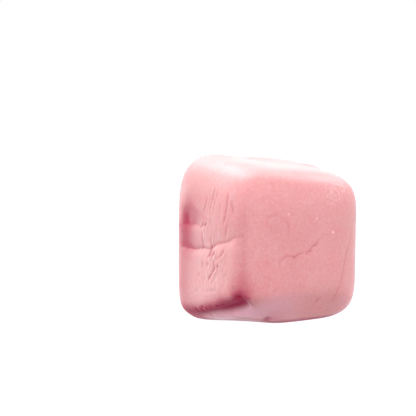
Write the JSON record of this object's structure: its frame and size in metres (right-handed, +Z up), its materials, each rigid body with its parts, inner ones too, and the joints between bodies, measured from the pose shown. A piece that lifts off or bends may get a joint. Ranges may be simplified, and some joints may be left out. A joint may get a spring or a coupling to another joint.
{
  "type": "foam candy",
  "caption": "Soft pink foam candy cut as a rounded cube, with smooth moulded sides, a wrinkled knife-cut end and a flat base.",
  "frame": {"origin": "middle of the base, on the surface that the candy rests on", "axes": "+Z up; -X is the wrinkled knife-cut end; -Y is the smooth front face"},
  "size_m": [0.0216, 0.0208, 0.0236],
  "materials": {
    "foam": "soft satin skin of a pink aerated sugar foam, slightly translucent"
  },
  "bodies": {
    "root": {"foam_candy": "foam"}
  },
  "joints": []
}
